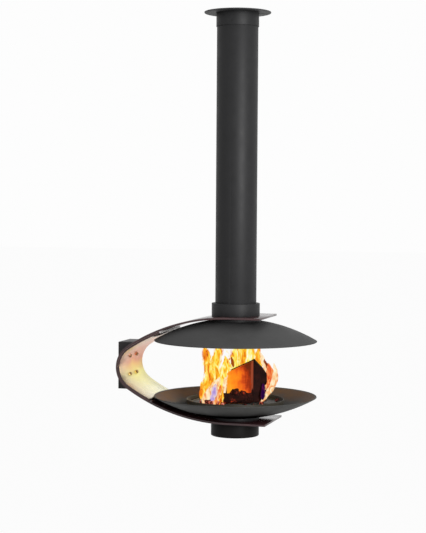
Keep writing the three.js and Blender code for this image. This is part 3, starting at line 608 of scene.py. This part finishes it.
for cap, sign, name, finish, node in (
    (hood, 1, "hoodShell", bowlPaint, "hood"),
    (dish, -1, "dishShell", scorchedFirelitPaint, "hearth_dish"),
):
    capShape = spun(bowlProfile(cap, sign), bowl["edge"], bowl["around"])
    putUp(capShape, name, finish, "frame", [node])
print("hood and dish spun")


# Strap and liner: one sheet each, bent along the strap's curve and given its thickness

strap = {
    "halfHeight": 323, "thickness": 12, "width": 424, "backX": 22, "backArc": 155.3, "arcStart": 5,
    "upperReach": 206, "lowerReach": 243, "edge": 1.0, "bendStep": 0.7,  # the step is in degrees
}
liner = {"thickness": 11.7, "underHood": 75, "underDish": 11, "edge": 0.8}
bolts = {"spacingY": 120, "spacingZ": 116, "hole": 6.5, "drillFrom": 0.6, "drillPast": 20}
screws = {"hoodCircle": 135.25, "chuteCircle": 121.95, "hole": 4.4, "drillFrom": 290, "drillTo": 340}
openings = {"hood": 124, "chute": 100.4, "drillFrom": 290, "drillTo": 350}
drills = {"sides": 24, "largeFrom": 20, "largeSides": 96}
seatGap = 0.3

longX = flueX / mm + strap["arcStart"]
backX = strap["backX"] + strap["backArc"]
rise = strap["halfHeight"] - strap["backArc"]
longArc = ((longX - backX) ** 2 + strap["halfHeight"] ** 2 - strap["backArc"] ** 2) / (2 * rise)
longZ = strap["halfHeight"] - longArc
joinAngle = math.atan2(-longZ, backX - longX)


def strapCurve(inset, upper=turn / 4, lower=3 * turn / 4):
    # (x, z) in mm from the upper long arc round the back to the lower one
    def arc(x, z, radius, start, end, longest):
        count = math.ceil(abs(end - start) / longest)
        return [(x + radius * math.cos(a), z + radius * math.sin(a)) for a in steps(start, end, count)]

    fine = math.radians(strap["bendStep"])  # the small back arc does with three of them
    return (
        arc(longX, longZ, longArc - inset, upper, joinAngle, fine)[:-1]
        + arc(backX, 0, strap["backArc"] - inset, joinAngle, turn - joinAngle, 3 * fine)
        + arc(longX, -longZ, longArc - inset, turn - joinAngle, lower, fine)[1:]
    )


def bentSheet(curve, thickness, width, edge):
    # the curve drawn out across the width and thickened inwards
    shape = bmesh.new()
    line = [shape.verts.new((x * mm, -width / 2 * mm, z * mm)) for x, z in curve]
    for here, there in zip(line, line[1:]):
        shape.edges.new((here, there))
    drawn = bmesh.ops.extrude_edge_only(shape, edges=shape.edges[:])["geom"]
    far = [v for v in drawn if isinstance(v, bmesh.types.BMVert)]
    bmesh.ops.translate(shape, verts=far, vec=(0, width * mm, 0))
    bmesh.ops.recalc_face_normals(shape, faces=shape.faces)
    middle = min(shape.faces, key=lambda f: f.calc_center_median().x)
    if middle.normal.x > 0:
        bmesh.ops.reverse_faces(shape, faces=shape.faces)  # the normals point out of the curve
    bmesh.ops.solidify(shape, geom=shape.faces[:], thickness=thickness * mm)
    bmesh.ops.recalc_face_normals(shape, faces=shape.faces)
    roundEdges(shape, edge, 60)
    return shape


def drill(shape, holes):
    # holes: (point, point, radius) in mm; the cut is made once and applied
    blank = bpy.data.meshes.new("blank")
    shape.to_mesh(blank)
    shape.free()
    blankObject = bpy.data.objects.new("blank", blank)
    bits = bmesh.new()
    for start, end, radius in holes:
        axis = Vector(end) - Vector(start)
        place = Matrix.Translation((Vector(start) + Vector(end)) / 2 * mm)
        place = place @ axis.to_track_quat("Z", "Y").to_matrix().to_4x4()
        sides = drills["sides"] if radius < drills["largeFrom"] else drills["largeSides"]
        bmesh.ops.create_cone(bits, cap_ends=True, segments=sides, radius1=radius * mm, radius2=radius * mm,
                              depth=axis.length * mm, matrix=place)
    bitMesh = bpy.data.meshes.new("bits")
    bits.to_mesh(bitMesh)
    bits.free()
    bitObject = bpy.data.objects.new("bits", bitMesh)
    for made in (blankObject, bitObject):
        bpy.context.scene.collection.objects.link(made)
    cut = blankObject.modifiers.new("cut", "BOOLEAN")
    cut.operation = "DIFFERENCE"
    cut.solver = "EXACT"
    cut.object = bitObject
    done = bpy.data.meshes.new_from_object(blankObject.evaluated_get(bpy.context.evaluated_depsgraph_get()))
    drilled = bmesh.new()
    drilled.from_mesh(done)
    for made in (blankObject, bitObject):
        bpy.data.objects.remove(made)
    return drilled


linerFace = strap["backArc"] - strap["thickness"] - seatGap - liner["thickness"]
boltTilt = math.asin(bolts["spacingZ"] / 2 / linerFace)
boltHoles = []
for level in (1, -1):
    for side in (-1, 1):
        y = side * bolts["spacingY"] / 2
        ends = []
        for radius in (bolts["drillFrom"] * strap["backArc"], strap["backArc"] + bolts["drillPast"]):
            x = backX - radius * math.cos(boltTilt)
            ends.append((x, y, level * radius * math.sin(boltTilt)))
        boltHoles.append((ends[0], ends[1], bolts["hole"]))

flue = flueX / mm
screwHoles = []
for level, circle in ((1, screws["hoodCircle"]), (-1, screws["chuteCircle"])):
    for share in (1 / 8, 3 / 8, 5 / 8, 7 / 8):
        x = flue + circle * math.cos(share * turn)
        y = circle * math.sin(share * turn)
        start, end = level * screws["drillFrom"], level * screws["drillTo"]
        screwHoles.append(((x, y, start), (x, y, end), screws["hole"]))
tongueHoles = [
    ((flue, 0, openings["drillFrom"]), (flue, 0, openings["drillTo"]), openings["hood"]),
    ((flue, 0, -openings["drillTo"]), (flue, 0, -openings["drillFrom"]), openings["chute"]),
]

curve = [(flue + strap["upperReach"], strap["halfHeight"]), *strapCurve(0),
         (flue + strap["lowerReach"], -strap["halfHeight"])]
strapShape = bentSheet(curve, strap["thickness"], strap["width"], strap["edge"])
bentStrap = putUp(drill(strapShape, boltHoles + screwHoles + tongueHoles), "bentStrap", strapLacquer, "frame",
                  ["strap"])
bentStrap.data.materials.append(strapInside)  # bare satin steel on the upper half's inward side
for face in bentStrap.data.polygons:
    inward = Vector((flueX - face.center.x, 0, -face.center.z))
    if face.center.z > 0 and abs(face.normal.y) < 0.5 and face.normal.dot(inward) > 0:
        face.material_index = 1

outer = strap["thickness"] + seatGap
upperEnd = math.acos(-(bowl["radius"] - liner["underHood"] + strap["arcStart"]) / (longArc - outer))
lowerEnd = turn - math.acos(-(bowl["radius"] - liner["underDish"] + strap["arcStart"]) / (longArc - outer))
curve = strapCurve(outer, upperEnd, lowerEnd)
linerShape = bentSheet(curve, liner["thickness"], strap["width"], liner["edge"])
bentLiner = putUp(drill(linerShape, boltHoles), "bentLiner", linerSteel, "frame",
                  ["strap_liner"])
bentLiner.data.materials.append(strapLacquer)  # its long edges are lacquered with the strap
bentLiner.data.materials.append(groundSteel)  # its upper end is ground bare
for face in bentLiner.data.polygons:
    if abs(face.normal.y) > 0.5:
        face.material_index = 1
    elif face.normal.x > 0.7 and face.center.z > 0.2:
        face.material_index = 2
print("strap and liner bent")


# Bracket, flue, pot and fastenings: the nodes' own shapes with rounded edges

refinedPieces = [
    # node, piece, finish, body, slot, edge
    ("wall_bracket", "bracketBox", bracketPaint, "frame", "bracket_paint", 1.2),
    ("flue_pipe", "fluePipe", pipePaint, "frame", "black_paint", 0.4),
    ("flue_collar", "flueCollar", pipePaint, "frame", "black_paint", 0.8),
    ("upper_sleeve", "ceilingSleeve", pipePaint, "frame", "black_paint", 0.6),
    ("ceiling_rosette", "ceilingPlate", platePaint, "frame", "black_paint", 0.6),
    ("hood_spigot", "hoodSpigot", pipePaint, "frame", "black_paint", 0.0),
    ("ash_chute", "ashChute", pipePaint, "frame", "black_paint", 0.5),
    ("ash_pot", "ashPot", potPaint, "ash_pot", "black_paint", 0.8),
    ("damper_knob", "damperKnob", knobPlastic, "damper", "knob_plastic", 0.8),
    ("grate", "hearthGrate", castIron, "grate", "cast_iron", 0.8),
    ("pot_ring", "potRing", castIron, "frame", "cast_iron", 0.5),
]
for node, name, finish, body, slotName, edge in refinedPieces:
    putUp(refined(node, edge), name, finish, body, [node])
for place in ("upper_near", "upper_far", "lower_near", "lower_far"):
    for kind, edge, finish in (("bolt", 0.9, boltSteel), ("washer", 0.5, linerSteel)):
        node = f"liner_{kind}_{place}"
        putUp(refined(node, edge), node.replace("liner_", "steel_"), finish, "frame", [node])
print("fittings refined")


# Fire tray: a shallow pan with a rolled lip

tray = {"radius": 300, "lip": -189.5, "foot": -219.5, "plate": 4, "opening": 112, "corner": 6, "around": 128}


def trayProfile():
    # from the opening out along the foot, over the lip and back along the floor
    wall = tray["radius"] - tray["plate"]
    floorZ = tray["foot"] + tray["plate"]
    half = tray["plate"] / 2

    def corner(reach, foot, radius, count):
        arc = steps(0, turn / 4, count)
        return [(reach - radius + radius * math.sin(a), foot + radius - radius * math.cos(a)) for a in arc]

    outside = corner(tray["radius"], tray["foot"], tray["corner"], 5)
    inside = corner(wall, floorZ, tray["corner"] - tray["plate"], 3)
    arc = steps(0, turn / 2, 6)
    lip = [(wall + half + half * math.cos(a), tray["lip"] - half + half * math.sin(a)) for a in arc]
    return [(tray["opening"], tray["foot"]), *outside, *lip, *inside[::-1], (tray["opening"], floorZ)]


putUp(spun(trayProfile(), 0, tray["around"]), "firePan", panPaint, "fire_tray",
      ["fire_tray"], sharp=50)
print("tray spun")


# CAD nodes that stay, with new finishes

stayed = {
    "damper_disc": castIron, "damper_spindle": zincSteel, "damper_bush": zincSteel,
    "damper_screw_1": zincSteel, "damper_screw_2": zincSteel,
    **{f"pot_catch_{i}": zincSteel for i in (1, 2, 3)},
    **{f"sleeve_screw_{i}": pipePaint for i in (1, 2, 3)},
    **{f"hood_screw_{i}": boltSteel for i in (1, 2, 3, 4)},
    **{f"chute_screw_{i}": zincSteel for i in (1, 2, 3, 4)},
    **{f"tray_foot_{i}": castIron for i in (1, 2, 3, 4)},
}
for node, finish in stayed.items():
    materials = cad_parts[node].data.materials
    materials.clear()
    materials.append(finish)
print("kept nodes finished")


# Logs: the nodes' shapes with a torn, fibrous surface

logVoxel = 4.5
roughening = {"hold": 1.0, "finer": 2.0, "layers": 3}  # of the noise that tears the surface
logs = [
    # node, piece, finish, how deep it is torn, size of the tears along X, Y and Z in mm, seed
    ("log_large", "splitLog", largeLogWood, 3.5, (14, 14, 90), 1.7),
    ("log_front", "barkLog_front", smallLogWood, 9, (26, 26, 26), 5.3),
    ("log_left", "barkLog_left", smallLogWood, 9, (26, 26, 26), 6.3),
]


def weathered(node, relief, size, seed):
    # the node's mesh made even by a voxel remesh, then torn along its grain
    source = refined(node, 0)
    mesh = bpy.data.meshes.new("rough")
    source.to_mesh(mesh)
    source.free()
    rough = bpy.data.objects.new("rough", mesh)
    bpy.context.scene.collection.objects.link(rough)
    even = rough.modifiers.new("even", "REMESH")
    even.mode = "VOXEL"
    even.voxel_size = logVoxel * mm
    done = bpy.data.meshes.new_from_object(rough.evaluated_get(bpy.context.evaluated_depsgraph_get()))
    bpy.data.objects.remove(rough)
    shape = bmesh.new()
    shape.from_mesh(done)
    shape.normal_update()
    for v in shape.verts:
        at = Vector((v.co.x / size[0], v.co.y / size[1], v.co.z / size[2])) / mm + Vector((seed, 0, 0))
        tear = noise.fractal(at, roughening["hold"], roughening["finer"], roughening["layers"])
        v.co -= v.normal * relief * mm * abs(tear)
    return shape


for node, name, finish, relief, size, seed in logs:
    putUp(weathered(node, relief, size, seed), name, finish, "grate", [node], sharp=70)
print("logs split")


# Embers and charcoal on the grate and on the tray's floor

lumps = [
    # side, back and height in mm in the pile's frame, half sizes, finish, body
    (-262, -92, -207, (17, 12, 9), coal, "fire_tray"),
    (258, 70, -206, (14, 11, 10), redCoal, "fire_tray"),
    (-196, -104, -198, (22, 18, 18), ember, "fire_tray"),
    (-168, -126, -196, (24, 20, 20), ember, "fire_tray"),
    (-136, -146, -197, (22, 18, 19), ember, "fire_tray"),
    (-106, -160, -198, (20, 17, 18), ember, "fire_tray"),
    (-186, -76, -197, (22, 18, 19), ember, "fire_tray"),
    (-150, -96, -195, (24, 22, 21), ember, "fire_tray"),
    (-78, -176, -202, (17, 14, 14), ember, "fire_tray"),
    (160, -116, -203, (15, 12, 13), ember, "fire_tray"),
    (62, -176, -206, (13, 10, 10), redCoal, "fire_tray"),
    (118, -150, -206, (14, 12, 10), coal, "fire_tray"),
    (-2, -130, -140, (30, 26, 24), smallLogWood, "grate"),
    (44, -124, -148, (26, 22, 22), smallLogWood, "grate"),
    (-54, -140, -168, (24, 22, 28), smallLogWood, "grate"),
    (84, -126, -166, (22, 22, 30), smallLogWood, "grate"),
]
chipping = {
    # how square a lump is, from 2, round; then its share of the full size, and its breaks and dents
    "woodBoxy": 5, "coalBoxy": 3, "full": 0.9,
    "breaks": 1.3, "breakDepth": 0.1, "dents": 1.6, "dentDepth": 0.22,
}


def lump(side, back, height, size, seed, boxy):
    # a broken piece, turned its own way
    shape = bmesh.new()
    bmesh.ops.create_icosphere(shape, subdivisions=4, radius=1)
    for v in shape.verts:
        v.co /= sum(abs(c) ** boxy for c in v.co) ** (1 / boxy)
        broken = noise.cell(v.co * chipping["breaks"] + Vector((seed, 0, 0))) * chipping["breakDepth"]
        dent = abs(noise.noise(v.co * chipping["dents"] + Vector((seed * 3.1, 0, 0))))
        v.co *= chipping["full"] - chipping["dentDepth"] * dent - broken
    bmesh.ops.scale(shape, verts=shape.verts, vec=[s * mm for s in size])
    for angle, axis in ((seed * 1.9, "Z"), (0.35 * math.sin(seed * 2.3), "Y"), (0.3 * math.cos(seed), "X")):
        bmesh.ops.rotate(shape, verts=shape.verts, cent=(0, 0, 0), matrix=Matrix.Rotation(angle, 3, axis))
    bmesh.ops.translate(shape, verts=shape.verts, vec=(side * mm, back * mm, height * mm))
    bmesh.ops.transform(shape, verts=shape.verts, matrix=pilePlace)
    return shape


for i, (side, back, height, size, finish, body) in enumerate(lumps):
    boxy = chipping["woodBoxy"] if finish is smallLogWood else chipping["coalBoxy"]
    shape = lump(side, back, height, size, i + 1, boxy)
    putUp(shape, f"coal_{i + 1}", finish, body, (), sharp=40)
print("coals laid")


# Flames: closed twisted tongues, drawn along a few points each

tongues = {
    # points: side, back, height, half width and half depth in mm, in the pile's frame
    "leftOuter": (yellowFlame, [
        (-150, -50, -203, 36, 24), (-174, -50, -130, 38, 24), (-160, -46, -60, 36, 22),
        (-162, -42, 0, 34, 20), (-178, -40, 70, 34, 18), (-186, -38, 132, 30, 14)]),
    "leftInner": (yellowFlame, [
        (-112, -30, -203, 40, 24), (-110, -24, -110, 42, 24), (-126, -16, -30, 38, 22),
        (-122, -8, 40, 36, 20), (-110, -4, 100, 36, 18), (-102, 0, 133, 28, 12)]),
    "leftStreak": (orangeFlame, [
        (-168, -78, -160, 10, 8), (-156, -74, -90, 16, 10), (-168, -72, -20, 14, 8),
        (-176, -70, 60, 20, 10), (-194, -66, 128, 14, 8)]),
    "leftLow": (orangeFlame, [
        (-186, -70, -205, 16, 12), (-202, -66, -160, 20, 14), (-200, -60, -110, 14, 12),
        (-204, -56, -80, 6, 6)]),
    "logLeft": (yellowFlame, [
        (-82, -100, -203, 24, 12), (-84, -92, -150, 22, 12), (-78, -84, -90, 24, 12),
        (-74, -76, -40, 26, 12), (-72, -70, 10, 20, 10), (-70, -64, 56, 8, 6)]),
    "logBehind": (yellowFlame, [
        (-60, 40, -120, 20, 10), (-56, 44, -60, 34, 12), (-52, 48, -10, 32, 12),
        (-60, 52, 40, 18, 10), (-66, 54, 70, 6, 5)]),
    "logLeftRim": (curlFlame, [
        (-70, -124, -176, 9, 6), (-68, -122, -140, 14, 8), (-64, -118, -96, 15, 8),
        (-56, -112, -58, 11, 6), (-44, -106, -34, 5, 4)]),
    "logTopRim": (paleFlame, [
        (-52, 112, -40, 14, 8), (-46, 114, -10, 22, 10), (-30, 116, 20, 20, 10),
        (-16, 118, 44, 10, 6)]),
    "backSheet": (yellowFlame, [
        (46, 142, -200, 70, 14), (50, 146, -100, 98, 18), (52, 148, -20, 110, 20),
        (54, 146, 60, 112, 20), (56, 142, 131, 104, 12)]),
    "backPale": (paleFlame, [
        (-8, 118, -120, 12, 8), (-6, 120, -20, 24, 10), (2, 120, 50, 20, 10),
        (-4, 120, 124, 16, 8)]),
    "backStreak": (orangeFlame, [
        (26, 118, -60, 8, 6), (30, 120, 0, 12, 8), (24, 120, 60, 14, 8), (30, 122, 128, 16, 8)]),
    "backBright": (paleFlame, [
        (92, 122, -20, 16, 8), (84, 124, 30, 26, 10), (92, 124, 80, 24, 10), (86, 124, 130, 16, 8)]),
    "backRim": (orangeFlame, [
        (150, 112, -80, 10, 8), (152, 114, 0, 18, 10), (140, 114, 50, 20, 10),
        (148, 114, 116, 12, 8)]),
    "rightInner": (redFlame, [
        (178, 10, -203, 14, 10), (192, 10, -150, 20, 12), (204, 12, -100, 30, 16),
        (212, 16, -50, 32, 16), (208, 20, -4, 22, 10), (206, 24, 30, 8, 6)]),
    "rightFoot": (redFlame, [
        (176, -66, -132, 5, 4), (186, -62, -112, 12, 8), (200, -56, -88, 13, 8),
        (206, -50, -60, 5, 4)]),
    "rightCurl": (curlFlame, [
        (160, -62, -203, 17, 12), (184, -52, -172, 18, 12), (216, -38, -128, 23, 14),
        (240, -22, -78, 24, 14), (248, -8, -32, 18, 12), (246, 6, 6, 12, 8), (240, 12, 30, 5, 4)]),
    "rightWisp": (brownWisp, [
        (200, 46, -22, 6, 5), (196, 48, 6, 14, 8), (184, 50, 30, 14, 8), (178, 50, 50, 5, 4)]),
    "backWisp": (brownWisp, [
        (-12, 92, -8, 8, 5), (-18, 94, 20, 14, 7), (-22, 94, 44, 10, 6), (-26, 94, 58, 4, 4)]),
    "frontPale": (curlFlame, [
        (-194, -126, -205, 26, 14), (-164, -124, -158, 34, 16), (-136, -120, -110, 34, 16),
        (-110, -116, -72, 22, 10), (-92, -112, -42, 6, 5)]),
    "frontViolet": (violetFlame, [
        (-140, -152, -186, 14, 8), (-132, -150, -156, 24, 10), (-124, -148, -120, 24, 10),
        (-116, -144, -84, 10, 6)]),
    "frontRose": (redFlame, [
        (-122, -170, -205, 16, 8), (-108, -168, -168, 12, 8), (-94, -164, -122, 11, 7),
        (-90, -160, -84, 4, 4)]),
    "frontOrange": (orangeFlame, [
        (-86, -168, -205, 18, 10), (-80, -166, -172, 13, 9), (-74, -162, -136, 7, 6),
        (-72, -160, -110, 3, 3)]),
    "violetFoot": (deepViolet, [
        (166, -80, -186, 10, 8), (172, -76, -156, 20, 10), (176, -70, -122, 24, 9),
        (172, -64, -88, 12, 5)]),
    "rightRim": (curlFlame, [
        (198, 58, -64, 8, 6), (192, 60, -24, 14, 8), (174, 62, 28, 16, 8), (160, 64, 68, 12, 7),
        (150, 66, 98, 5, 4)]),
}


def through(points, share):
    # a smooth curve through the points, all five numbers at once
    last = len(points) - 1
    place = min(max(share, 0), 1) * last
    i = min(int(place), last - 1)
    t = place - i
    four = [points[max(i - 1, 0)], points[i], points[i + 1], points[min(i + 2, last)]]
    return [
        0.5 * (2 * b + (c - a) * t + (2 * a - 5 * b + 4 * c - d) * t * t + (3 * b - a - 3 * c + d) * t ** 3)
        for a, b, c, d in zip(*four)
    ]


burning = {
    "around": 28, "along": 48,
    # how far a flame twists, in radians, sways, in mm, and frays, as a share; and how quickly on its way up
    "twist": 0.5, "twistRate": 2.2, "sway": 9, "swayRate": 3.4,
    "fray": 0.22, "frayRate": 9, "frayAround": 1.3, "seedStep": 2.7,
}


def tongue(points, seed):
    # a ball drawn out along the points, closed at both ends; its UV map holds the way to its edge and up it
    shape = bmesh.new()
    bmesh.ops.create_uvsphere(shape, u_segments=burning["around"], v_segments=burning["along"], radius=1)
    flow = shape.loops.layers.uv.new("flow")
    marks = {}
    for v in shape.verts:
        share = (v.co.z + 1) / 2
        around = math.atan2(v.co.y, v.co.x)
        side, back, height, width, depth = through(points, share)
        full = min(1, 1.15 * max(1 - v.co.z ** 2, 0) ** 0.25)  # blunter at its ends than a ball
        twist = burning["twist"] * noise.noise(Vector((share * burning["twistRate"], seed, 3)))
        sway = burning["sway"] * share * noise.noise(Vector((share * burning["swayRate"], seed, 7)))
        fray = Vector((share * burning["frayRate"], around * burning["frayAround"], seed))
        ragged = 1 + burning["fray"] * noise.noise(fray)
        across = full * width * ragged * math.cos(around)
        deep = full * depth * ragged * math.sin(around)
        marks[v] = (abs(math.cos(around)) * full + (1 - full), share)
        v.co = Vector((
            side + sway + across * math.cos(twist) - deep * math.sin(twist),
            back + across * math.sin(twist) + deep * math.cos(twist),
            height,
        )) * mm
    for face in shape.faces:
        for loop in face.loops:
            loop[flow].uv = marks[loop.vert]
    bmesh.ops.transform(shape, verts=shape.verts, matrix=pilePlace)
    bmesh.ops.recalc_face_normals(shape, faces=shape.faces)
    return shape


for i, (name, (finish, points)) in enumerate(tongues.items()):
    putUp(tongue(points, burning["seedStep"] * i), f"flame_{name}", finish, "grate", (), sharp=180)
print("fire lit")
